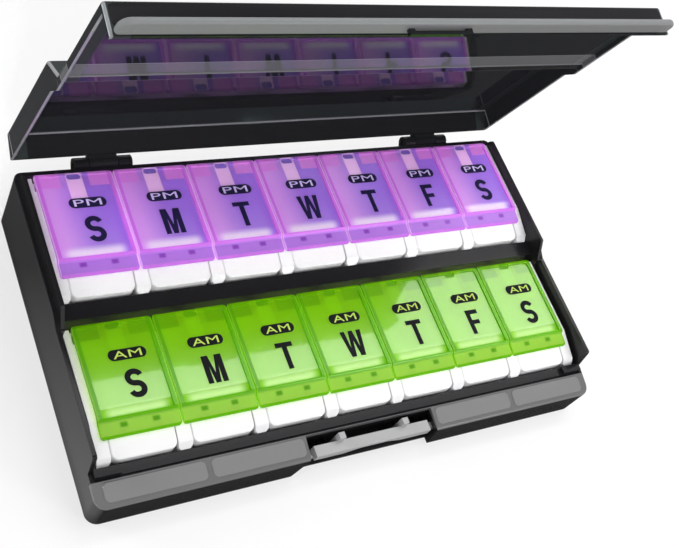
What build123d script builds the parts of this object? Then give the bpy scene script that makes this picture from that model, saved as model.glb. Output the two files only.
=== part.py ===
import os
from math import atan2, cos, radians, sin

from build123d import *

os.makedirs("parts", exist_ok=True)

# Seven days side by side, named from left to right, in two rows
days = ("sunday", "monday", "tuesday", "wednesday", "thursday", "friday", "saturday")
pitch = 30.0
row_half = pitch * len(days) / 2
centres = [(i + 0.5) * pitch - row_half for i in range(len(days))]

# Fits: a moving piece beside its neighbours, a pin in its bore
clear = 0.3
pin_fit = 0.05

# Compartment lid, measured forward (v) and up (h) from its back top edge
lid_width = pitch - 0.6
lid_length = 42.7
lid_plate = 1.3
lip_deep = 6.7
lip_drop = 2.73
face_recess = 0.5
face_rim = 1.6
face_back = 2.0
face_end = lid_length - lip_deep
back_round = 1.6
lid_axis_v = 3.4
lid_axis_h = -3.6
lid_barrel = 2.6
lid_pin = 0.9
lug = 1.65
lug_half = 3.2
slot_long = 5.4
slot_wide = 2.6
slot_v = 2.1
roll_long = 3.8
roll_drop = 0.75
spring_half = 2.8
spring_back = 3.0
spring_front = 13.6

# Compartment tray
tray_deep = 21.8
tray_floor = 1.5
tray_back = -0.7
tray_end = 2.4
tray_half = row_half + tray_end
cell_half = 13.8
cell_back = 7.8
cell_front = face_end + 0.5
cell_top = -1.9
trough_front = 6.6
trough_h = -7.7
pocket_half = 12.3
pocket_back = lid_length - 4.3
pocket_h = -13.0
shelf = 1.5
facet = 2.0
flare = 0.9

# Push button and its leaf spring
button_half = pocket_half - clear
button_back = pocket_back + clear
button_reach = 6.8
button_front = lid_length + button_reach
tray_front = button_front + 0.7
button_low = -9.6
button_tab = 0.6
post_top = -3.6
post_low = -5.4
spring_v = lid_length + 1.8
leaf = 0.35

# Case: walls, floor and the chain of depths from back to front
floor = 1.8
tongue = 1.4
skirt = 1.4
well_half = tray_half + clear
tongue_out = well_half + tongue
case_half = tongue_out + clear + skirt
back_wall = 1.6
lid_swing = 1.2
cross_wall = 6.5
row_gap = 1.5
ledge_deep = 4.0
flange_deep = 9.8
row_step = tray_front + clear + cross_wall + row_gap
case_depth = back_wall + lid_swing + row_step + tray_front + clear + ledge_deep + flange_deep
back_y = case_depth / 2
front_y = -back_y
pm_y = back_y - back_wall - lid_swing
am_y = pm_y - row_step

# Case heights
row_rise = 7.8
am_z = floor + tray_deep
pm_z = am_z + row_rise
ledge_drop = 7.2
ledge_z = am_z - ledge_drop
cross_z = pm_z - ledge_drop
flange_drop = 1.6
am_wall_z = am_z + 2.6
tongue_z = pm_z + 1.8
shoulder_z = pm_z - 2.9

# Side wall corners: top of the slope, foot of the slope, front end
slope_top_y = am_y + 3.1
slope_foot_y = am_y - 2.2
wall_end_y = am_y - tray_front + 0.4
inner_front_y = am_y - tray_front - clear
groove_y = inner_front_y - ledge_deep
am_well_half = case_half - 1.6

# Barrel hinges at the back
hinge_x = 75.7
barrel = 2.75
knuckle_side = 5.5
knuckle_mid = 11.1
hinge_pin = 1.0
hinge_y = back_y + barrel + 0.25
hinge_z = shoulder_z - 2.1

# Case lid, drawn open
lid_open = 76.5
panel = 1.6
rim_back = hinge_y - back_y
rim_pm = shoulder_z + clear - hinge_z
rim_am = am_wall_z + clear - hinge_z
panel_pm = 11.9
panel_am = 3.4
lid_lean = 3.0
front_in = hinge_y - (inner_front_y - 1.4)
step_top = hinge_y - slope_top_y + 2.3
step_foot = hinge_y - slope_foot_y + 3.8
front_low = -7.9
lip_reach = 7.6
lip_top = -5.0
lip_thick = 2.5
clip_half = 12.7
clip_drop = 2.3
clip_slot = 0.9
band_wide = 3.9
band_high = 0.4

# Latch in the middle of the front flange
recess_half = 31.7
recess_draft = 3.2
recess_back_y = groove_y - 0.6
recess_floor = 2.0
recess_floor_y = front_y + 2.5
latch_half = 26.0
latch_front_y = front_y + 0.9
latch_back_y = front_y + 5.2
latch_low = 4.0
latch_top = ledge_z - 2.0
latch_tab = 1.8
latch_web = 1.4
scoop_half = 13.0
catch_x = 14.5
catch_half = 1.3
latch_leaf_x = 21.0
latch_leaf_half = 4.8
catch_z = ledge_z + 1.1


def side_plane(x, row_y, row_z):
    return Plane(origin=(x, row_y, row_z), x_dir=(0, -1, 0), z_dir=(-1, 0, 0))


def plan_plane(x, row_y, z):
    return Plane(origin=(x, row_y, z), x_dir=(1, 0, 0), z_dir=(0, 0, 1))


def finish_piece(piece, name):
    piece.part.label = name
    export_step(piece.part, "parts/" + name + ".step")


# Case base: one moulding with floor, walls, cross wall, ledge, flange and hinge knuckles
with BuildPart() as case_base:
    with BuildSketch() as outline:
        Rectangle(2 * case_half, case_depth)
        fillet(outline.vertices().group_by(Axis.Y)[0], 4.5)
        fillet(outline.vertices().group_by(Axis.Y)[-1], 3.0)
    extrude(amount=tongue_z)
    # Skyline of the side walls, from the front flange up over both rows
    with BuildSketch(Plane.YZ) as skyline:
        with BuildLine():
            Polyline(
                (front_y - 1, ledge_z - flange_drop - 1.2),
                (front_y, ledge_z - flange_drop - 1.2),
                (front_y + 0.12, ledge_z - flange_drop - 0.65),
                (front_y + 0.45, ledge_z - flange_drop - 0.2),
                (front_y + 1.0, ledge_z - flange_drop + 0.1),
                (groove_y, ledge_z),
                (wall_end_y - 1.7, ledge_z),
                (wall_end_y, am_wall_z),
                (slope_foot_y, am_wall_z),
                (slope_top_y, tongue_z),
                (pm_y - 1.0, tongue_z),
                (pm_y + 0.6, shoulder_z),
                (back_y + 1, shoulder_z),
                (back_y + 1, tongue_z + 9),
                (front_y - 1, tongue_z + 9),
                close=True,
            )
        make_face()
        tops = skyline.vertices().sort_by(Axis.X)
        fillet([v for v in tops if abs(v.X - pm_y + 1.0) < 0.01], 1.6)
        fillet([v for v in skyline.vertices() if abs(v.X - wall_end_y) < 0.01], 1.2)
    extrude(amount=case_half + 5, both=True, mode=Mode.SUBTRACT)
    # Shoulder outside the side tongues, where the lid's skirts come down
    for side in (-1, 1):
        with BuildSketch(Plane.YZ.offset(side * tongue_out)):
            with BuildLine():
                Polyline(
                    (slope_foot_y, am_wall_z),
                    (slope_top_y, shoulder_z),
                    (back_y + 1, shoulder_z),
                    (back_y + 1, tongue_z + 9),
                    (slope_foot_y, tongue_z + 9),
                    close=True,
                )
            make_face()
        extrude(amount=side * 9, mode=Mode.SUBTRACT)
    # Wells for the two trays
    pm_front_y = pm_y - tray_front - clear
    cross_front_y = pm_front_y - cross_wall
    with BuildSketch(Plane.XY.offset(floor)):
        with Locations((0, (pm_front_y + back_y - back_wall) / 2)):
            Rectangle(2 * well_half, back_y - back_wall - pm_front_y)
        with Locations((0, (inner_front_y + cross_front_y) / 2)):
            Rectangle(2 * well_half, cross_front_y - inner_front_y)
    extrude(amount=tongue_z + 9, mode=Mode.SUBTRACT)
    with BuildSketch(Plane.XY.offset(cross_z)):
        with Locations((0, (pm_front_y + cross_front_y) / 2)):
            Rectangle(2 * well_half, cross_wall + 1)
    extrude(amount=tongue_z, mode=Mode.SUBTRACT)
    with BuildSketch(Plane.XY.offset(ledge_z)):
        with Locations((0, (groove_y + slope_foot_y - 0.8) / 2)):
            Rectangle(2 * am_well_half, slope_foot_y - 0.8 - groove_y)
    extrude(amount=tongue_z, mode=Mode.SUBTRACT)
    # Hollow inside the cross wall and the flange blocks, open to the wells behind the trays
    with BuildSketch(Plane.XY.offset(floor)):
        with Locations((0, (pm_front_y + cross_front_y) / 2 + 1)):
            Rectangle(2 * well_half, cross_wall - 2)
    extrude(amount=cross_z - 1.8 - floor, mode=Mode.SUBTRACT)
    block_in = recess_half + 4.4
    block_out = case_half - 3.0
    block_mid = (block_in + block_out) / 2
    block_deep = inner_front_y + 1 - (front_y + 2.2)
    with BuildSketch(Plane.XY.offset(floor)):
        with Locations((-block_mid, front_y + 2.2 + block_deep / 2), (block_mid, front_y + 2.2 + block_deep / 2)):
            Rectangle(block_out - block_in, block_deep)
    extrude(amount=ledge_z - flange_drop - 2.2 - floor, mode=Mode.SUBTRACT)
    # Ribs that carry the raised back tray
    pm_seat = pm_z - tray_deep
    with BuildSketch(Plane.XY.offset(floor - 0.5)):
        for v in (cell_back + 1.2, (cell_back + cell_front) / 2, cell_front - 1.5):
            with Locations((0, pm_y - v)):
                Rectangle(2 * well_half + 1, 1.8)
    extrude(amount=pm_seat - floor + 0.5)
    # Groove between ledge and flange, raised stops at the ledge ends
    with BuildSketch(Plane.XY.offset(ledge_z + 1)):
        with Locations((0, groove_y)):
            Rectangle(2 * am_well_half, 0.8)
    extrude(amount=-1.8, mode=Mode.SUBTRACT)
    with BuildSketch(Plane.XY.offset(ledge_z - 0.5)):
        for side in (-1, 1):
            with Locations((side * (am_well_half - 4.6), inner_front_y - 1.9)):
                Rectangle(9.6, 3.0)
    extrude(amount=2.3)
    # Two raised pads on the sloped top of each flange block
    slope = atan2(flange_drop - 0.1, flange_deep - 1.0)
    flange_plane = Plane(
        origin=(0, groove_y, ledge_z), x_dir=(1, 0, 0), z_dir=(0, -sin(slope), cos(slope))
    )
    pad_in = recess_half - recess_draft + 1.2
    pad_long = (case_half - pad_in - 4.6) / 2
    with BuildSketch(flange_plane.offset(-0.2)):
        for side in (-1, 1):
            for k in (0, 1):
                mid = pad_in + pad_long / 2 + k * (pad_long + 1.4)
                with Locations((side * mid, -flange_deep / 2 + 0.3)):
                    RectangleRounded(pad_long, flange_deep - 2.2, 2.4)
    extrude(amount=0.65, taper=40)
    # Latch recess: open at the front, floor only behind, guide slots in both block ends
    recess_top = recess_half - recess_draft
    for low_z, back_edge in ((0, recess_floor_y), (recess_floor, recess_back_y)):
        low_half = recess_half - recess_draft * low_z / ledge_z
        with BuildSketch(Plane.XZ.offset(-back_edge)):
            with BuildLine():
                Polyline(
                    (-low_half, low_z),
                    (-recess_top, ledge_z + 1),
                    (recess_top, ledge_z + 1),
                    (low_half, low_z),
                    close=True,
                )
            make_face()
        extrude(amount=back_edge - front_y + 1, mode=Mode.SUBTRACT)
    tab_low = latch_low + 1.6 - clear
    tab_high = latch_low + 6.4 + clear
    with BuildSketch(Plane.YZ):
        with Locations(((latch_front_y + 1.5 + recess_back_y) / 2, (tab_low + tab_high) / 2)):
            Rectangle(recess_back_y - latch_front_y - 1.5, tab_high - tab_low)
    extrude(amount=recess_half + latch_tab + clear, both=True, mode=Mode.SUBTRACT)
    # Outer hinge knuckles on the back wall, two for each hinge
    for side in (-1, 1):
        for end in (-1, 1):
            mid = side * hinge_x + end * (knuckle_mid / 2 + clear + knuckle_side / 2)
            with BuildSketch(Plane.YZ.offset(mid)):
                with Locations((hinge_y, hinge_z)):
                    Circle(barrel)
                with BuildLine():
                    Polyline(
                        (back_y - 0.6, hinge_z + 0.9),
                        (hinge_y, hinge_z + 0.9),
                        (hinge_y + barrel * 0.8, hinge_z - barrel * 0.6),
                        (back_y - 0.6, hinge_z - 7.5),
                        close=True,
                    )
                make_face()
            extrude(amount=knuckle_side / 2, both=True)
            with BuildSketch(Plane.YZ.offset(mid)):
                with Locations((hinge_y, hinge_z)):
                    Circle(hinge_pin + 0.02)
            extrude(amount=knuckle_side / 2 + 0.1, both=True, mode=Mode.SUBTRACT)
finish_piece(case_base, "case_base")

# Hinge pins, one in each barrel
pin_half = knuckle_mid / 2 + clear + knuckle_side - 0.8
for side, word in ((-1, "left"), (1, "right")):
    with BuildPart() as pin_part:
        with BuildSketch(Plane.YZ.offset(side * hinge_x)):
            with Locations((hinge_y, hinge_z)):
                Circle(hinge_pin)
        extrude(amount=pin_half, both=True)
        chamfer(pin_part.edges().filter_by(GeomType.CIRCLE), 0.2)
    finish_piece(pin_part, "lid_hinge_pin_" + word)

# Case lid: stepped shell, measured forward (p) and up (q) from the hinge when shut
turn = radians(lid_open)
lid_side = Plane(
    origin=(0, hinge_y, hinge_z), x_dir=(0, -cos(turn), sin(turn)), z_dir=(-1, 0, 0)
)
lid_out = (0, sin(turn), cos(turn))


def lid_plan(q):
    base_plane = Plane(origin=(0, hinge_y, hinge_z), x_dir=(1, 0, 0), z_dir=lid_out)
    return base_plane.offset(q)


with BuildPart() as case_lid:
    with BuildSketch(lid_side):
        with BuildLine():
            Polyline(
                (rim_back, rim_pm),
                (rim_back + lid_lean, panel_pm),
                (step_top, panel_pm),
                (step_foot, panel_am),
                (front_in + 1.1, panel_am),
                (front_in + 1.5, front_low),
                (front_in, front_low),
                (front_in, rim_am),
                (step_foot - 3.8, rim_am),
                (step_top - 2.3, rim_pm),
                close=True,
            )
        make_face()
    extrude(amount=case_half, both=True)
    # Softened outer edges along and across the lid
    long_edges = case_lid.faces().filter_by(lambda f: f.normal_at().dot(Vector(*lid_out)) > 0.99)
    outer = [e for f in long_edges for e in f.edges() if abs(e.tangent_at(0.5).X) < 0.1]
    fillet(outer, 1.2)
    across = case_lid.edges().filter_by(Axis.X)
    high = [e for e in across if (e.center() - Vector(0, hinge_y, hinge_z)).dot(Vector(*lid_out)) > panel_am - 0.1]
    fillet(high, 1.0)
    # Hollow
    with BuildSketch(lid_side):
        with BuildLine():
            Polyline(
                (rim_back + panel, front_low - 4),
                (rim_back + panel, rim_pm),
                (rim_back + lid_lean + panel - 0.5, panel_pm - panel),
                (step_top - 0.7, panel_pm - panel),
                (step_foot - 0.7, panel_am - panel),
                (front_in, panel_am - panel),
                (front_in, front_low - 4),
                close=True,
            )
        make_face()
    extrude(amount=case_half - skirt, both=True, mode=Mode.SUBTRACT)
    # Front lip with rounded ends, and the clip below its middle
    lip_in = front_in + 0.4
    lip_out = lip_in + lip_reach
    with BuildSketch(lid_plan(lip_top - lip_thick)) as lip_sketch:
        with Locations((0, -(lip_in + lip_out) / 2)):
            Rectangle(2 * case_half - 3.0, lip_out - lip_in)
        fillet(lip_sketch.vertices().group_by(Axis.Y)[0], 4.0)
    extrude(amount=lip_thick)
    nose = case_lid.edges().filter_by(Axis.X)
    nose = [
        e
        for e in nose
        if abs((e.center() - Vector(0, hinge_y, hinge_z)).dot(lid_side.x_dir) - lip_out) < 0.05
    ]
    fillet(nose, 1.1)
    clip_back = lip_in + 3.4
    clip_plate = 1.6
    with BuildSketch(lid_side):
        with Locations((clip_back + clip_plate / 2, lip_top - lip_thick - clip_drop / 2 + 0.3)):
            Rectangle(clip_plate, clip_drop + 0.6)
    extrude(amount=clip_half, both=True)
    with BuildSketch(lid_side):
        with Locations((clip_back + clip_plate / 2, lip_top - lip_thick - clip_slot / 2)):
            Rectangle(clip_plate + 2, clip_slot)
    extrude(amount=clip_half - 2.2, both=True, mode=Mode.SUBTRACT)
    # Raised bands across the inside, one before the step and one along the back
    step_edge = step_foot - 0.7
    back_edge = rim_back + lid_lean + panel - 0.5
    for near, wide, inside in (
        (step_edge, band_wide, panel_am - panel),
        (back_edge, band_wide / 3, panel_pm - panel),
    ):
        with BuildSketch(lid_side):
            with Locations((near + wide / 2, inside)):
                Rectangle(wide, 2 * band_high)
        extrude(amount=case_half - skirt + 0.2, both=True)
    # Middle knuckles of the two hinges
    for side in (-1, 1):
        with BuildSketch(lid_side.offset(-side * hinge_x)):
            Circle(barrel)
            with BuildLine():
                Polyline(
                    (-barrel * 0.94, 0.9),
                    (rim_back - 1.0, 7.0),
                    (rim_back + 1.7, 7.0),
                    (rim_back + 0.5, rim_pm + 0.2),
                    (rim_back - clear, rim_pm + 0.1),
                    (rim_back - 2 * clear, 1.0),
                    (0, -1.0),
                    close=True,
                )
            make_face()
        extrude(amount=knuckle_mid / 2, both=True)
        with BuildSketch(lid_side.offset(-side * hinge_x)):
            Circle(hinge_pin + pin_fit)
        extrude(amount=knuckle_mid / 2 + 0.1, both=True, mode=Mode.SUBTRACT)
finish_piece(case_lid, "case_lid")

# Latch button: bar with a finger scoop, two catch posts behind it, guide tabs at its ends
with BuildPart() as latch_button:
    with BuildSketch(Plane.YZ):
        with BuildLine():
            Polyline(
                (latch_front_y, latch_top),
                (latch_back_y, latch_top),
                (latch_back_y, latch_low),
                (latch_front_y + 2.7, latch_low),
                (latch_front_y, latch_top - 4.2),
                close=True,
            )
        make_face()
    extrude(amount=latch_half, both=True)
    with BuildSketch(Plane.XZ.offset(-latch_back_y + latch_web)) as scoop:
        with BuildLine():
            Polyline(
                (-latch_half - 1, latch_low - 1),
                (-latch_half - 1, latch_top - 3.6),
                (-scoop_half, latch_top - 3.6),
                (-scoop_half / 2, latch_top - 1.6),
                (scoop_half / 2, latch_top - 1.6),
                (scoop_half, latch_top - 3.6),
                (latch_half + 1, latch_top - 3.6),
                (latch_half + 1, latch_low - 1),
                close=True,
            )
        make_face()
        fillet([v for v in scoop.vertices() if abs(v.X) < scoop_half + 0.1], 3.0)
    extrude(amount=9, mode=Mode.SUBTRACT)
    top_edges = latch_button.faces().sort_by(Axis.Z)[-1].edges().filter_by(Axis.X)
    fillet(top_edges.sort_by(Axis.Y)[0], 0.5)
    with BuildSketch(Plane.YZ):
        with Locations(((latch_front_y + latch_back_y) / 2 + 1.2, latch_low + 4.0)):
            Rectangle(latch_back_y - latch_front_y - 2.4, 4.8)
    extrude(amount=recess_half + latch_tab, both=True)
    with BuildSketch(Plane.XY.offset(latch_low + 1.0)):
        for side in (-1, 1):
            with Locations((side * catch_x, latch_back_y + 0.75)):
                Rectangle(2 * catch_half, 2.5)
    extrude(amount=catch_z - latch_low - 1.0)
finish_piece(latch_button, "latch_button")

# Latch springs: a bowed leaf on each side, between the bar and the back of the recess
gap_deep = recess_back_y - latch_back_y
with BuildPart() as latch_springs:
    for side in (-1, 1):
        with BuildSketch(Plane.XY.offset(latch_low + 0.6)):
            with BuildLine():
                arch = ThreePointArc(
                    (side * latch_leaf_x - latch_leaf_half, recess_back_y),
                    (side * latch_leaf_x, recess_back_y - gap_deep + leaf / 2),
                    (side * latch_leaf_x + latch_leaf_half, recess_back_y),
                )
                back = ThreePointArc(
                    (side * latch_leaf_x + latch_leaf_half - 0.5, recess_back_y),
                    (side * latch_leaf_x, recess_back_y - gap_deep + leaf * 1.5),
                    (side * latch_leaf_x - latch_leaf_half + 0.5, recess_back_y),
                )
                Line(arch @ 1, back @ 0)
                Line(back @ 1, arch @ 0)
            make_face()
        extrude(amount=3.0)
finish_piece(latch_springs, "latch_springs")


# Compartment tray: seven cells, hinge lugs behind them and button pockets in front
def make_tray(name, row_y, row_z):
    with BuildPart() as tray:
        with BuildSketch(side_plane(0, row_y, row_z)):
            with BuildLine():
                Polyline(
                    (tray_back, -tray_deep),
                    (tray_back, trough_h),
                    (trough_front, trough_h),
                    (trough_front, cell_top),
                    (face_end - 1.4, cell_top),
                    (face_end + 0.4, post_top - 0.1),
                    (lid_length, post_top),
                    (tray_front - facet, post_low + (post_top - post_low) * facet / (tray_front - lid_length)),
                    (tray_front, post_low - facet),
                    (tray_front, -tray_deep),
                    close=True,
                )
            make_face()
        extrude(amount=tray_half, both=True)
        # Closed ends beside the outermost lids
        for side in (-1, 1):
            with BuildSketch(side_plane(side * (row_half + tray_end / 2), row_y, row_z)):
                with BuildLine():
                    Polyline(
                        (tray_back, -tray_deep),
                        (tray_back, cell_top - 3.2),
                        (tray_back + 1.6, cell_top),
                        (face_end, cell_top),
                        (lid_length, post_top),
                        (lid_length, -tray_deep),
                        close=True,
                    )
                make_face()
            extrude(amount=tray_end / 2, both=True)
        # Cells
        with BuildSketch(plan_plane(0, row_y, row_z - tray_deep + tray_floor)):
            for x in centres:
                with Locations((x, -(cell_back + cell_front) / 2)):
                    RectangleRounded(2 * cell_half, cell_front - cell_back, 2.0)
        extrude(amount=tray_deep, mode=Mode.SUBTRACT)
        # Button pockets, wider below so that the buttons can't lift out, flared at the front
        with BuildSketch(plan_plane(0, row_y, row_z + pocket_h)):
            for x in centres:
                with BuildLine():
                    Polyline(
                        (x - pocket_half, -pocket_back),
                        (x + pocket_half, -pocket_back),
                        (x + pocket_half, -tray_front + flare),
                        (x + pocket_half + flare, -tray_front),
                        (x + pocket_half + flare, -tray_front - 1),
                        (x - pocket_half - flare, -tray_front - 1),
                        (x - pocket_half - flare, -tray_front),
                        (x - pocket_half, -tray_front + flare),
                        close=True,
                    )
                make_face()
        extrude(amount=-pocket_h, mode=Mode.SUBTRACT)
        with BuildSketch(plan_plane(0, row_y, row_z + pocket_h)):
            for x in centres:
                with Locations((x, -(pocket_back + button_front) / 2)):
                    Rectangle(2 * (pocket_half + button_tab), button_front - pocket_back)
        extrude(amount=button_low + 1.4 + clear - pocket_h, mode=Mode.SUBTRACT)
        # Relief under the hinge shelf and under the pockets
        low_plane = plan_plane(0, row_y, row_z - tray_deep)
        with BuildSketch(low_plane):
            with Locations((0, -(tray_back + 1.2 + trough_front) / 2)):
                Rectangle(2 * tray_half - 3, trough_front - tray_back - 1.2)
        extrude(amount=tray_deep + trough_h - shelf, mode=Mode.SUBTRACT)
        with BuildSketch(low_plane):
            with Locations((0, -(cell_front + 1.4 + tray_front - 1.2) / 2)):
                Rectangle(2 * tray_half - 3, tray_front - cell_front - 2.6)
        extrude(amount=tray_deep + pocket_h - shelf, mode=Mode.SUBTRACT)
        # Hinge lugs in the middle of each lid's back edge
        for x in centres:
            with BuildSketch(side_plane(x, row_y, row_z)):
                with Locations((lid_axis_v, lid_axis_h)):
                    Circle(lug)
                with BuildLine():
                    Polyline(
                        (lid_axis_v - lug, lid_axis_h),
                        (lid_axis_v, lid_axis_h),
                        (trough_front + 0.1, lid_axis_h - 0.8),
                        (trough_front + 0.1, trough_h - 0.4),
                        (lid_axis_v - lug / 2, trough_h - 0.4),
                        close=True,
                    )
                make_face()
            extrude(amount=lug_half, both=True)
        with BuildSketch(side_plane(0, row_y, row_z)):
            with Locations((lid_axis_v, lid_axis_h)):
                Circle(lid_pin + pin_fit)
        extrude(amount=row_half - pitch / 2 + lug_half + 1, both=True, mode=Mode.SUBTRACT)
    finish_piece(tray, name)


# Compartment lid: recessed face with side rims, drooping front lip, hinge blocks and barbs
def make_lid(name, x, row_y, row_z):
    side = side_plane(x, row_y, row_z)
    with BuildPart() as lid:
        with BuildSketch(side):
            with BuildLine():
                ThreePointArc((0, -lid_plate), (back_round * 0.31, -back_round * 0.31), (back_round, 0))
                Polyline(
                    (back_round, 0),
                    (face_end, 0),
                    (face_end + 0.9, -0.45),
                    (face_end + 1.5, -1.4),
                    (lid_length - 0.9, -lip_drop + 0.75),
                    (lid_length, -lip_drop + 0.35),
                    (lid_length, -lip_drop - 0.35),
                    (lid_length - 0.8, -lip_drop - 0.35),
                    (face_end + 0.9, -lip_drop + 0.2),
                    (face_end - 0.4, -lid_plate - 0.3),
                    (face_end - roll_long, -lid_plate),
                    (0, -lid_plate),
                )
            make_face()
        extrude(amount=lid_width / 2, both=True)
        # Rounded corners in plan
        with BuildSketch(plan_plane(x, row_y, row_z + 1)) as plan:
            with Locations((0, -lid_length / 2)):
                Rectangle(lid_width, lid_length)
            fillet(plan.vertices().group_by(Axis.Y)[-1], 2.0)
            fillet(plan.vertices().group_by(Axis.Y)[0], 1.2)
        extrude(amount=-9, mode=Mode.INTERSECT)
        # Recessed face between two side rims
        with BuildSketch(plan_plane(x, row_y, row_z)):
            with Locations((0, -(face_back + face_end - 0.3) / 2)):
                RectangleRounded(lid_width - 2 * face_rim, face_end - 0.3 - face_back, 1.4)
        extrude(amount=-face_recess, mode=Mode.SUBTRACT)
        # The face rolls down to the lip in front
        roll_v = face_end + 0.2 - roll_long
        with BuildSketch(side):
            with BuildLine():
                ThreePointArc(
                    (roll_v, -face_recess),
                    (roll_v + roll_long / 2, -face_recess - roll_drop / 4),
                    (roll_v + roll_long, -face_recess - roll_drop),
                )
                Polyline(
                    (roll_v + roll_long, -face_recess - roll_drop),
                    (roll_v + roll_long, 1),
                    (roll_v, 1),
                    (roll_v, -face_recess),
                )
            make_face()
        extrude(amount=lid_width / 2 - face_rim, both=True, mode=Mode.SUBTRACT)
        # Hinge blocks and their inward stub pins
        for end in (-1, 1):
            mid = end * (lug_half + clear + lid_width / 2 - 1.3) / 2
            half = (lid_width / 2 - 1.3 - lug_half - clear) / 2
            with BuildSketch(side_plane(x + mid, row_y, row_z)):
                with Locations((lid_axis_v, lid_axis_h)):
                    Circle(lid_barrel)
                with BuildLine():
                    Polyline(
                        (lid_axis_v - 1.8, lid_axis_h),
                        (lid_axis_v - 1.8, -lid_plate + 0.2),
                        (trough_front - 1.0, -lid_plate + 0.2),
                        (trough_front - 1.0, lid_axis_h),
                        (lid_axis_v, lid_axis_h - lid_barrel),
                        close=True,
                    )
                make_face()
            extrude(amount=half, both=True)
            pin_mid = end * (lug_half + clear + 1.6) / 2
            with BuildSketch(side_plane(x + pin_mid, row_y, row_z)):
                with Locations((lid_axis_v, lid_axis_h)):
                    Circle(lid_pin)
            extrude(amount=(lug_half + clear - 1.6) / 2 + 0.2, both=True)
        # Slot over the tray's lug
        with BuildSketch(plan_plane(x, row_y, row_z + 1)):
            with Locations((0, -slot_v)):
                SlotOverall(slot_long, slot_wide)
        extrude(amount=-1 - lid_plate - 0.1, mode=Mode.SUBTRACT)
        # Seal rib that dips into the cell along both sides and the front
        rib_half = cell_half - 0.5
        with BuildSketch(plan_plane(x, row_y, row_z - lid_plate + 0.2)):
            for end in (-1, 1):
                with Locations((end * (rib_half - 0.45), -(cell_back + 4.0 + cell_front - 0.5) / 2)):
                    Rectangle(0.9, cell_front - 0.5 - cell_back - 4.0)
            with Locations((0, -(cell_front - 0.95))):
                Rectangle(2 * rib_half, 0.9)
        extrude(amount=-2.2)
        # Barbs that reach behind the button
        barb = lid_length - 2.7
        for end in (-1, 1):
            with BuildSketch(side_plane(x + end * 6.0, row_y, row_z)):
                with BuildLine():
                    Polyline(
                        (barb, -lip_drop + 0.4),
                        (barb, -5.0),
                        (barb + 0.4, -5.4),
                        (barb + 1.0, -5.0),
                        (barb + 0.7, -4.4),
                        (barb + 0.8, -lip_drop + 0.4),
                        close=True,
                    )
                make_face()
            extrude(amount=1.6, both=True)
    finish_piece(lid, name)


# Push button: hollow key with a sloped top, a groove for the barbs and side tabs
def make_button(name, x, row_y, row_z):
    with BuildPart() as button:
        with BuildSketch(plan_plane(x, row_y, row_z + button_low)) as key:
            with Locations((0, -(button_back + button_front) / 2)):
                Rectangle(2 * button_half, button_front - button_back)
            fillet(key.vertices().group_by(Axis.Y)[0], 2.8)
        extrude(amount=-button_low)
        with BuildSketch(side_plane(x, row_y, row_z)):
            with BuildLine():
                Polyline(
                    (button_back - 1, 1),
                    (button_back - 1, post_top),
                    (button_back + 0.7, post_top),
                    (button_back + 0.7, post_top - 2.6),
                    (button_back + 2.9, post_top - 2.6),
                    (button_back + 2.9, post_top),
                    (lid_length + 0.2, post_top),
                    (button_front, post_low),
                    (button_front + 1, post_low - 0.3),
                    (button_front + 1, 1),
                    close=True,
                )
            make_face()
        extrude(amount=button_half + 3, both=True, mode=Mode.SUBTRACT)
        slopes = button.faces().filter_by(
            lambda f: f.normal_at().Z > 0.9 and f.normal_at().Y < -0.1
        )
        face = slopes.sort_by(Axis.Y)[0]
        rounded = [e for e in face.edges() if e.center().Y < face.center().Y - 0.5 or abs(e.tangent_at(0.5).X) < 0.5]
        fillet(rounded, 0.6)
        with BuildSketch(plan_plane(x, row_y, row_z + button_low)):
            with Locations((0, -(button_back + 4.2 + button_front - 1.2) / 2)):
                Rectangle(2 * button_half - 2.4, button_front - button_back - 5.4)
        extrude(amount=-button_low + post_low - 1.3, mode=Mode.SUBTRACT)
        with BuildSketch(plan_plane(x, row_y, row_z + button_low)):
            for end in (-1, 1):
                with Locations((end * button_half, -(button_back + 5.0))):
                    Rectangle(2 * button_tab, 6.0)
            with Locations((0, -spring_v)):
                Rectangle(2 * button_half - 1, 1.2)
        extrude(amount=1.4)
    finish_piece(button, name)


# Leaf spring under a button, bowed up from the pocket floor
def make_button_spring(name, x, row_y, row_z):
    rise = button_low - pocket_h - pin_fit
    across = Plane(origin=(x, row_y - spring_v, row_z), x_dir=(1, 0, 0), z_dir=(0, -1, 0))
    with BuildPart() as bow:
        with BuildSketch(across):
            with BuildLine():
                under = ThreePointArc((-7, pocket_h), (0, pocket_h + rise - leaf), (7, pocket_h))
                over = ThreePointArc((7.6, pocket_h), (0, pocket_h + rise), (-7.6, pocket_h))
                Line(under @ 1, over @ 0)
                Line(over @ 1, under @ 0)
            make_face()
        extrude(amount=1.7, both=True)
    finish_piece(bow, name)


# Flat springs under the back of the lids, seated on the cells' back wall
def make_lid_springs(name, row_y, row_z):
    with BuildPart() as strips:
        with BuildSketch(plan_plane(0, row_y, row_z + cell_top)):
            for x in centres:
                with Locations((x, -(spring_back + spring_front) / 2)):
                    RectangleRounded(2 * spring_half, spring_front - spring_back, 1.0)
        extrude(amount=leaf * 0.8)
    finish_piece(strips, name)


for row, row_y, row_z in (("pm", pm_y, pm_z), ("am", am_y, am_z)):
    make_tray(row + "_tray", row_y, row_z)
    make_lid_springs(row + "_lid_springs", row_y, row_z)
    for day, x in zip(days, centres):
        make_lid(row + "_lid_" + day, x, row_y, row_z)
        make_button(row + "_button_" + day, x, row_y, row_z)
        make_button_spring(row + "_button_spring_" + day, x, row_y, row_z)
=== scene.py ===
import math

import bmesh
import bpy
from mathutils import Matrix, Vector


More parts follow.
